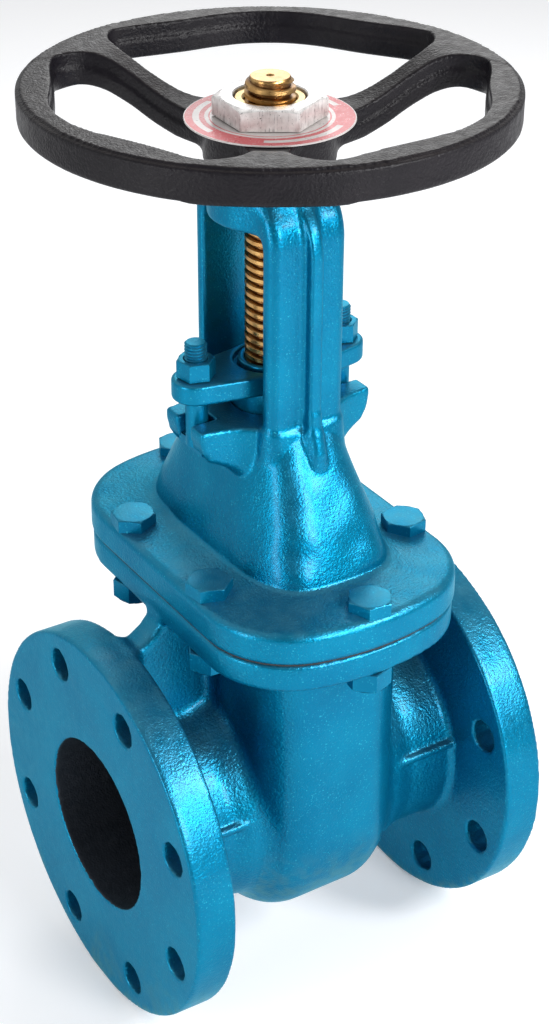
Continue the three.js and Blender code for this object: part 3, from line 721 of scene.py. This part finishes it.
# ------------------------------------------------------------------ body casting

FACE = 114.3  # half the face-to-face length, and the pipe flange's radius
FLANGE = 23.8  # the pipe flange's thickness
BORE = 50.8
PIPE_BOLT_CIRCLE = 95.25
PIPE_HOLE = 9.5
HOUSING, HOUSING_HALF = 81, 43  # the wedge housing's radius and its half length along the pipe
CHAMBER, CHAMBER_HALF = 66.5, 33  # the same for the hollow inside it
JOINT_MIDDLE, JOINT_HALF = 134.75, 7.75  # the oval flange's mid height and half its thickness
JOINT_SIDE_X, JOINT_SIDE_Y, JOINT_END_Y = 62.2, 41.0, 98.9  # the bonnet bolts, in plan
JOINT_HOLE = 7.7


def oval(x, y):
    """Distance to the bonnet joint's outline, in plan."""
    ax, ay = np.abs(x), np.abs(y)
    corner_x, corner_y, corner_radius = 23.0, 57.0, 50.0
    reach = 110.0 - corner_radius
    end_y = (reach**2 - corner_x**2 - corner_y**2) / (2 * (reach - corner_y))
    side = ax - corner_x - corner_radius
    corner = np.hypot(ax - corner_x, ay - corner_y) - corner_radius
    end = np.hypot(ax, ay - end_y) - (110.0 - end_y)
    in_end = (ay - end_y) * corner_x > ax * (corner_y - end_y)
    return np.where(ay < corner_y, side, np.where(in_end, end, corner)).astype(np.float32)


def joint_holes(x, y):
    ax, ay = np.abs(x), np.abs(y)
    near = [np.hypot(ax - JOINT_SIDE_X, ay - JOINT_SIDE_Y), np.hypot(ax, ay - JOINT_END_Y)]
    return np.minimum(*near) - JOINT_HOLE


def body_outside(grid):
    """The flanges, necks, wedge housing, webs and oval flange, uneven as sand castings are."""
    x, y, z = grid.x, grid.y, grid.z
    ax, ay = np.abs(x), np.abs(y)
    radial = np.hypot(y, z)
    flange = disc(radial, FACE, ax, FACE - FLANGE, FACE, 1.4)
    neck_radius = 62 + 4 * smoothstep(62, 46, ax)
    neck = meet(radial - neck_radius, ax - 100)
    solid = join(flange, neck, 5)
    below = np.hypot(y, np.minimum(z, 0))
    housing = meet(meet(below - HOUSING, ax - HOUSING_HALF, 26), z - 129)
    solid = join(solid, housing, 7)
    web_outline = [(40, 40), (92, 40), (92, 111.5), (86.5, 114.5), (79, 119.5), (71, 129), (40, 129)]
    web = meet(polygon(ax, z, web_outline), ay - 9, 4)
    solid = join(solid, web, 6)
    solid = join(solid, meet(oval(x, y), np.abs(z - JOINT_MIDDLE) - JOINT_HALF, 1.4), 4)
    ridge = meet(np.hypot(ay - 61.2, z - 15.5) - 2.5, np.abs(ax - 68) - 22.5)
    solid = join(solid, ridge, 1.0)
    cast = smoothstep(114, 111, radial) * smoothstep(92, 89, ax) + smoothstep(112.5, 114, radial)
    return solid + 0.12 * np.clip(cast, 0, 1) * ripple(x, y, z) * (z < 126)


def body_opened(grid, solid):
    """The body with its bolt holes, bore, seat recess, chamber and wedge guides."""
    x, y, z = grid.x, grid.y, grid.z
    ax, ay = np.abs(x), np.abs(y)
    radial = np.hypot(y, z)
    turns = [math.radians(22.5 + 45 * n) for n in range(8)]
    centres = [(PIPE_BOLT_CIRCLE * math.cos(t), PIPE_BOLT_CIRCLE * math.sin(t)) for t in turns]
    pipe_holes = np.minimum.reduce([np.hypot(y - a, z - b) for a, b in centres]) - PIPE_HOLE
    solid = cut(solid, meet(pipe_holes, 80 - ax), 0.9)
    solid = cut(solid, meet(joint_holes(x, y), 120 - z), 0.8)
    solid = cut(solid, radial - BORE, 1.1)
    solid = cut(solid, disc(radial, 60, ax, -1, 40))
    below = np.hypot(y, np.minimum(z, 0))
    chamber = meet(meet(below - CHAMBER, ax - CHAMBER_HALF), z - 200)
    solid = cut(solid, chamber, 0.8)
    guide = meet(meet(ax - 4, np.abs(ay - 62) - 5), np.abs(z - 62) - 76)
    return np.minimum(solid, guide)


def body_attributes(mesh):
    """Where the body's paint is rough, worn, paler with painted floor light, scuffed or missing."""
    px, py, pz = points_of(mesh).T
    reach = np.hypot(py, pz)
    apx = np.abs(px)
    face = apx > FACE - 0.6
    flange_back = (apx > 90) & (apx < 91.5) & (reach > 68)
    peel = np.full(len(px), 0.42)
    peel[(apx < 92) & (reach < 75)] = 0.66
    peel[(reach > FACE - 0.7) & (apx > 90)] = 0.5
    peel[face] = 0.16
    peel[flange_back] = 0.5
    peel[pz > 126] = 0.3
    housing_part = (apx < 44) & (pz < 124)
    peel[housing_part] = 0.3 + 0.3 * smoothstep(20, 44, apx[housing_part])
    set_attribute(mesh, "peel", peel)
    low_rim = (apx > 89) * smoothstep(-30, -100, pz) * smoothstep(108, 113.8, reach)
    # Low on the housing the paint is made paler and greyer: a painted reflection of the bright floor below.
    low_housing_floor_glow = housing_part * smoothstep(5, -60, pz) * 0.75
    set_attribute(mesh, "wear_and_floor_glow", np.maximum(low_rim, low_housing_floor_glow))
    edge = smoothstep(112.6, 114.0, reach) * smoothstep(113.0, 113.9, apx)
    set_attribute(mesh, "scuff", edge * (0.35 + 0.65 * smoothstep(-20, -90, pz)))
    inner = (reach < 67.5) & (apx < 33.8) | (np.abs(py) < 67.5) & (apx < 33.8) & (pz > 0)
    set_attribute(mesh, "raw", inner.astype(float))


def body_casting():
    grid = Grid((-117, -117, -117), (117, 117, 145), 1.5)
    solid = body_opened(grid, body_outside(grid))
    mesh = contoured_mesh("body_casting", grid, solid, keep=0.42)
    body_attributes(mesh)
    add_piece("body_casting", mesh, "valve_body", body_paint, ["body"])


body_casting()


# ------------------------------------------------------------------ bonnet casting

BONNET_LOW = 143.9
BONNET_TOP = 160.5
BOX_TOP = 241.0
STUD_X = 44.5
SLOT_INNER = 37.0
YOKE_TOP = 372
BONNET_BORES = [  # radius, low and high, from the yoke hub down to the backseat bush
    (20.3, 344, YOKE_TOP + 1),
    (24.5, 356, YOKE_TOP + 1),
    (27.8, 365, YOKE_TOP + 1),
    (20.6, 207, 260),
    (13.6, 190, 208),
    (18.8, 190, 203.7),
]


def bonnet_dome(grid):
    """The dome under its sloping roof, the stuffing box and the two ears."""
    x, y, z = grid.x, grid.y, grid.z
    ax, ay = np.abs(x), np.abs(y)
    heights = [150, 158, 163, 171, 180, 188, 196, 204, 212, 220, 227, 248]
    half_x = eased(z, heights, [46.4, 45.6, 45.0, 43.9, 42.3, 40.5, 38.3, 36.1, 33.8, 31.2, 29.5, 28.3])
    half_y = eased(z, heights, [79, 78.4, 77.0, 74.8, 71.9, 68.8, 65.2, 61.4, 57.4, 53, 50.2, 48.2])
    dome = oblong(ax, ay, half_x, half_y, 3.6 - 0.5 * smoothstep(170, 216, z))
    shoulder = 230.5
    top_x = np.maximum(29.6 - 0.3 * (z - shoulder), 26)
    top_y = np.maximum(49.8 - 0.9 * (z - shoulder), 30)
    dome = meet(meet(dome, oblong(ax, ay, top_x, top_y, 3), 1), 148 - z)
    dome = meet(dome, z - 246)
    box = disc(np.hypot(x, y), 26, z, 190, BOX_TOP)
    ear_outline = [
        (0, 210), (28, 216), (36, 219.5), (47.3, 223.5), (51, 229), (52.6, 236), (52.6, 243), (0, 243),
    ]
    ear_reach = eased(ax, [0, 20, 25, 30, 37, 52], [26, 26, 24.3, 21.5, 20, 18.7])
    ear = meet(polygon(ax, z, ear_outline), ay - ear_reach, 1.8)
    lower = join(join(dome, box, 3), ear, 6)
    return meet(lower, z - BOX_TOP, 1.3)


def yoke_arms(grid):
    """Two ribbed arms that meet in the hub, with the window between them."""
    x, y, z = grid.x, grid.y, grid.z
    ax, ay = np.abs(x), np.abs(y)
    arch = meet(ay - 38.9, z - (YOKE_TOP - 1), 30)
    arch = meet(arch, ax - 23, 7)
    rib = meet(meet(ay - 46, z - (YOKE_TOP - 1), 37), ax - 3.65, 1.8)
    arms = join(arch, rib, 3.2)
    hub = disc(np.hypot(x, y), 32, z, 346.5, YOKE_TOP, 2)
    window = meet(ay - 29, z - 349, 10)
    arms = cut(arms, window, 2.2)
    arms = meet(join(arms, hub, 5), z - YOKE_TOP, 1.2)
    return meet(arms, 205 - z)


def rib_feet(grid):
    """Where the ribs of the arms run out on the dome."""
    outline = [(30, 206), (46, 214), (49.5, 222), (50.8, 229), (49, 237), (46, 250), (30, 250)]
    return meet(polygon(np.abs(grid.y), grid.z, outline), np.abs(grid.x) - 2.4, 1.6)


def bonnet_opened(grid, solid):
    """The bonnet with its stud slots and pockets, bores, hollow and bolt holes."""
    x, y, z = grid.x, grid.y, grid.z
    ax, ay = np.abs(x), np.abs(y)
    radial = np.hypot(x, y)
    slot = meet(meet(SLOT_INNER - ax, ay - 6.5, 1), 205 - z)
    slot = meet(slot, z - 250)
    pocket = meet(meet(np.abs(ax - STUD_X) - 5.2, ay - 13.1), np.abs(z - 217.5) - 12.5)
    solid = cut(solid, slot, 1.2)
    solid = cut(solid, pocket, 0.8)
    for radius, low, high in BONNET_BORES:
        solid = cut(solid, disc(radial, radius, z, low, high), 0.7)
    hollow_at = [143, 150, 165, 183, 198]
    inner_x = eased(z, hollow_at, [33, 32.5, 31, 28.5, 26])
    inner_y = eased(z, hollow_at, [66, 63, 57, 47, 37])
    solid = cut(solid, meet(oblong(ax, ay, inner_x, inner_y, 3.4), z - 198), 0.7)
    return cut(solid, joint_holes(x, y), 0.8)


def bonnet_attributes(mesh):
    """The paint is a little rougher low on the dome; it has no worn patches, no scuffs and no painted floor
    light.
    """
    pz = points_of(mesh)[:, 2]
    low_dome = smoothstep(225, 185, pz) * (pz > 161)
    set_attribute(mesh, "peel", 0.4 + 0.1 * low_dome)
    set_attribute(mesh, "wear_and_floor_glow", np.zeros(len(pz)))
    set_attribute(mesh, "scuff", np.zeros(len(pz)))


def bonnet_casting():
    grid = Grid((-76, -113, 140), (76, 113, 375), 1.2)
    x, y, z = grid.x, grid.y, grid.z
    flange = meet(meet(oval(x, y), z - BONNET_TOP, 3.2), BONNET_LOW - z, 0.9)
    solid = join(flange, bonnet_dome(grid), 6)
    solid = join(solid, yoke_arms(grid), 3.5)
    solid = join(solid, rib_feet(grid), 3.5)
    solid = solid + 0.05 * ripple(x, y, z) * smoothstep(162, 170, z) * (z < 366)
    mesh = contoured_mesh("bonnet_casting", grid, bonnet_opened(grid, solid), keep=0.6)
    bonnet_attributes(mesh)
    add_piece("bonnet_casting", mesh, "valve_body", bonnet_paint, ["bonnet"])


bonnet_casting()


# ------------------------------------------------------------------ gland


def gland_follower():
    grid = Grid((-60, -25, 232), (60, 25, 269), 0.75)
    x, y, z = grid.x, grid.y, grid.z
    ax = np.abs(x)
    radial = np.hypot(x, y)
    end, middle = 13.0, 22.0
    lean = (middle - end) / STUD_X
    rise = math.sqrt(1 - lean * lean)
    ay = np.abs(y)
    straight = lean * ax + rise * ay - middle
    along = rise * ax - lean * ay
    tip = np.hypot(ax - STUD_X, y) - end
    outline = np.where(along > STUD_X * rise, tip, np.where(along < 0, radial - middle, straight))
    plate = meet(outline, np.abs(z - 259.25) - 5.75, 1.7)
    nose = disc(radial, 20.2, z, 237.6, 256)
    collar = disc(radial, 16.4, z, 255, 266.2, 0.9)
    solid = join(plate, nose, 0.8)
    solid = cut(solid, disc(radial, 19, z, 261, 270), 0.8)
    solid = np.minimum(solid, collar)
    solid = cut(solid, radial - 13.2, 0.8)
    solid = cut(solid, np.hypot(ax - STUD_X, y) - 6.7, 0.7)
    mesh = contoured_mesh("gland_follower", grid, solid)
    add_piece("gland_follower", mesh, "valve_body", fastener_paint, ["gland"])


gland_follower()


# ------------------------------------------------------------------ bolts and nuts


JOINT_BOLT = 6.9
JOINT_FLATS = 22
GLAND_STUD = 5.95
GLAND_FLATS = 18


def add_fastener(name, mesh, replaced):
    add_piece(name, mesh, "valve_body", fastener_paint, [replaced])


def joint_fasteners():
    """Six bolts round the oval flange, each with its nut and its own turn."""
    corner_x, corner_y, end = JOINT_SIDE_X, JOINT_SIDE_Y, JOINT_END_Y
    back = [(corner_x, corner_y), (0, end), (-corner_x, corner_y)]
    front = [(-corner_x, -corner_y), (0, -end), (corner_x, -corner_y)]
    for n, (x, y) in enumerate(back + front, 1):
        lean = math.radians(17 * n)
        bolt = Builder()
        bolt.threaded(112, 126, JOINT_BOLT, 5.9, 2.0, sides=24)
        bolt.turn([[0, 125], [JOINT_BOLT, 125], [JOINT_BOLT, 161.5], [0, 161.5]], 32)
        bolt.hexagon(JOINT_FLATS, 160.8, 168.8, turn=lean)
        mesh = bolt.finish(f"bonnet_bolt_{n}", (x, y, 0))
        add_fastener(f"joint_bolt_{n}", mesh, f"bonnet_bolt_{n}")
        nut = Builder()
        nut.hexagon(JOINT_FLATS, 126.7, 115.4, bore=7.2, turn=lean + 0.4)
        mesh = nut.finish(f"bonnet_nut_{n}", (x, y, 0))
        add_fastener(f"joint_nut_{n}", mesh, f"bonnet_nut_{n}")


joint_fasteners()


def gland_fasteners():
    """Two T-headed studs in the ears' slots, each with its nut."""
    for side, sign in (("left", -1), ("right", 1)):
        stud = Builder()
        stud.threaded(264, 285, GLAND_STUD, 5.0, 1.75, sides=28)
        stud.turn([[0, 226], [GLAND_STUD, 226], [GLAND_STUD, 264.5], [5, 265.5], [0, 265.5]], 32)
        stud.box((-4.2, -12.5, 223), (4.2, 12.5, 229.7), bevel=0.8)
        mesh = stud.finish(f"gland_stud_{side}", (sign * STUD_X, 0, 0))
        add_fastener(f"gland_stud_{side}", mesh, f"gland_bolt_{side}")
        nut = Builder()
        nut.hexagon(GLAND_FLATS, 265.3, 275.6, bore=6.15, turn=0.2)
        mesh = nut.finish(f"gland_hex_{side}", (sign * STUD_X, 0, 0))
        add_fastener(f"gland_hex_{side}", mesh, f"gland_nut_{side}")


gland_fasteners()


# ------------------------------------------------------------------ stem

STEM_TOP = 417.8
LEAD = 5.0


def stem_rod():
    rod = Builder()
    rod.threaded(254, STEM_TOP - 1.2, 12.8, 10.4, LEAD, sides=56, hand=-1, shape=STEM_THREAD)
    rod.turn(
        [
            [0, 60.3], [14.9, 60.3], [15.5, 60.9], [15.5, 68.8], [14.9, 69.4], [9.2, 69.4],
            [9.2, 80], [9.8, 81], [14, 81], [16, 84], [12.5, 88], [12.5, 254], [10.3, 256.4], [0, 256.4],
        ],
        64,
    )
    rod.turn(
        [
            [0, 404], [10.3, 404], [10.3, STEM_TOP - 0.7], [9.8, STEM_TOP], [2.1, STEM_TOP],
            [1.9, STEM_TOP - 0.25], [0.5, STEM_TOP - 1.6], [0, STEM_TOP - 1.6],
        ],
        64,
    )
    mesh = rod.finish("stem_rod", sharp_degrees=38)
    add_piece("stem_rod", mesh, "stem_and_wedge", thread_bronze, ["stem"])


stem_rod()


# ------------------------------------------------------------------ sleeve, nut and plate

SPOKE = math.radians(-122.5)  # the direction of the first spoke


def drive_pieces():
    sleeve = Builder()
    sleeve.turn(
        [
            [13.2, 351.3], [14, 350.5], [19.3, 350.5], [20, 351.2], [20, 359], [23.4, 359], [24, 359.6],
            [24, 364.4], [23.4, 365], [20, 365], [20, 374.7], [18, 374.7], [18, 406.1], [17.2, 407],
            [14.2, 407], [13.2, 406],
        ],
        96,
        closed=True,
    )
    mesh = sleeve.finish("sleeve")
    add_piece("stem_sleeve", mesh, "drive", brass, ["yoke_sleeve"])
    nut = Builder()
    nut.hexagon(50, 397.4, 408.4, bore=18.4, turn=SPOKE, per_side=16, chamfer=18)
    mesh = nut.finish("wheel_nut")
    add_piece("wheel_nut", mesh, "drive", plating, ["handwheel_nut"])
    plate = Builder()
    rim = [[42.8, 396.3], [43, 396.5], [43, 396.9], [42.8, 397.1]]
    plate.turn([[18.8, 396.3], *rim, [18.8, 397.1]], 128, closed=True)
    mesh = plate.finish("print_disc")
    add_piece("print_disc", mesh, "drive", printed, ["name_plate"])


drive_pieces()


# ------------------------------------------------------------------ handwheel


RIM = 124.6
RIM_TOP = 416.1
WHEEL_BORE = 18.4


def dish(reach):
    """How far a spoke has climbed, from 0 at the boss to 1 at the rim."""
    return smoothstep(44, 108, reach)


def wheel_casting():
    """Three dished spokes in a flat-topped rim with finger swells inside."""
    grid = Grid((-128, -128, 372), (128, 128, 419), 0.95)
    x, y, z = grid.x, grid.y, grid.z
    radial = np.hypot(x, y)
    turned = np.degrees(np.arctan2(y, x)) - math.degrees(SPOKE)
    from_window = np.mod(turned, 120) - 60
    swell = (2 + 0.05 * np.abs(from_window)) * np.cos(np.radians(7.2 * from_window))
    inner = 110.3 + swell
    top = 395.9 + 20.2 * dish(radial)
    ledge = 1.4 * smoothstep(top - 6.5, top - 9, z)
    side = np.maximum(radial - RIM, inner - ledge - radial)
    solid = np.maximum(meet(side, 397 - z, 3.6), z - RIM_TOP)
    stations = [22, 36, 44, 56, 76, 92, 101, 107, 112, 116]
    widths = [15, 13.5, 11, 8.5, 7, 8, 11, 16, 24, 34]
    for n in range(3):
        angle = SPOKE + n * math.tau / 3
        along = x * math.cos(angle) + y * math.sin(angle)
        across = np.abs(-x * math.sin(angle) + y * math.cos(angle))
        low = 379 + 19 * dish(along)
        half = eased(along, stations, widths, 3) - 0.7 + ledge
        spoke = meet(across - half, low - z, 3)
        spoke = np.maximum(spoke, np.maximum(20 - along, along - 117))
        spoke = np.maximum(spoke, z - RIM_TOP)
        solid = join(solid, spoke, 8)
    boss = disc(radial, 33.6, z, 375, 397, 2)
    solid = join(solid, boss, 4)
    step = np.where(radial > 122.3, 1.5, 0)
    solid = meet(solid, z - (top - step), 1.3)
    solid = np.maximum(solid, radial - RIM)
    lowest = 374 + 4.4 * smoothstep(34, 38, radial) + 19 * dish(radial)
    solid = meet(solid, lowest - z, 2.5)
    solid = solid + 0.07 * ripple(1.3 * x, 1.3 * y, z) * (radial > 50)
    solid = cut(solid, radial - WHEEL_BORE, 0.6)
    mesh = contoured_mesh("wheel_casting", grid, solid, keep=0.85)
    add_piece("wheel_casting", mesh, "drive", enamel, ["handwheel"])


wheel_casting()


# ------------------------------------------------------------------ carried CAD nodes

CARRIED = {
    "seat_ring_inlet": bronze,
    "seat_ring_outlet": bronze,
    "wedge": iron,
    "wedge_face_ring_inlet": bronze,
    "wedge_face_ring_outlet": bronze,
    "bonnet_gasket": fibre,
    "backseat_bush": bronze,
    "packing_ring_1": braid,
    "packing_ring_2": braid,
    "packing_ring_3": braid,
    "packing_ring_4": braid,
    "thrust_washer": bronze,
    "sleeve_retainer": plating,
    "handwheel_key": plating,
}
for name, material in CARRIED.items():
    node = nodes[name]
    node.data.materials.clear()
    node.data.materials.append(material)


# ------------------------------------------------------------------ floor, light and camera


def floor():
    """A wide pale floor just under the valve."""
    mesh = bpy.data.meshes.new("floor")
    half = 9.0
    gap = 0.0005
    level = cad_box[0][2] - gap
    corners = [(-half, -half, level), (half, -half, level), (half, half, level), (-half, half, level)]
    mesh.from_pydata(corners, [], [(0, 1, 2, 3)])
    plane = bpy.data.objects.new("floor", mesh)
    scene.collection.objects.link(plane)
    s = Shader("pale_floor")
    s.set(
        Base_Color=(0.86, 0.86, 0.87),
        Roughness=0.75,
        Emission_Color=(1.0, 1.0, 1.0),
        Emission_Strength=0.25,
    )
    mesh.materials.append(s.material)


def area_light(name, place, size, power, aim=(0, 0, 0.1)):
    light = bpy.data.lights.new(name, "AREA")
    light.shape = "RECTANGLE"
    light.size, light.size_y = size
    light.energy = power
    lamp = bpy.data.objects.new(name, light)
    scene.collection.objects.link(lamp)
    lamp.location = place
    direction = Vector(aim) - Vector(place)
    lamp.rotation_euler = direction.to_track_quat("-Z", "Y").to_euler()


def studio():
    """A pale backdrop behind, a darker room in front, and four soft boxes round the valve."""
    world = bpy.data.worlds.new("studio")
    world.use_nodes = True
    tree = world.node_tree
    background = tree.nodes["Background"]
    direction = tree.nodes.new("ShaderNodeTexCoord").outputs["Generated"]
    parts = tree.nodes.new("ShaderNodeSeparateXYZ")
    tree.links.new(direction, parts.inputs[0])
    depth = tree.nodes.new("ShaderNodeMapRange")
    tree.links.new(parts.outputs["Y"], depth.inputs["Value"])
    for key, number in (("From Min", -0.5), ("From Max", 0.45), ("To Min", 0.18), ("To Max", 0.86)):
        depth.inputs[key].default_value = number
    tree.links.new(depth.outputs["Result"], background.inputs["Strength"])
    background.inputs["Color"].default_value = (0.97, 0.985, 1.0, 1)
    scene.world = world
    scene.view_settings.view_transform = "Standard"
    area_light("key", (0.15, -1.5, 0.72), (0.42, 0.6), 17, aim=(0, 0, 0.12))
    area_light("left_box", (-1.6, -0.25, 0.42), (0.3, 0.8), 9)
    area_light("right_box", (0.75, -1.2, 1.08), (0.32, 0.45), 20)
    area_light("back_box", (0.9, 1.2, 1.0), (0.8, 1.0), 6)


def photo_camera():
    """A long lens from the front left, looking down about thirty degrees."""
    turn, tilt, roll = math.radians(-32.49), math.radians(30.42), math.radians(0.37)
    right = Vector((math.cos(turn), math.sin(turn), 0))
    back = Vector((math.sin(turn) * math.cos(tilt), -math.cos(turn) * math.cos(tilt), math.sin(tilt)))
    up = back.cross(right)
    rolled_right = right * math.cos(roll) + up * math.sin(roll)
    rolled_up = up * math.cos(roll) - right * math.sin(roll)
    lens = bpy.data.cameras.new("camera")
    lens.sensor_width = 36
    lens.lens = 71.81
    camera = bpy.data.objects.new("camera", lens)
    scene.collection.objects.link(camera)
    axes = Matrix((rolled_right, rolled_up, back)).transposed().to_4x4()
    camera.matrix_world = Matrix.Translation((-0.5182, -0.8202, 0.7395)) @ axes
    scene.camera = camera


floor()
studio()
photo_camera()
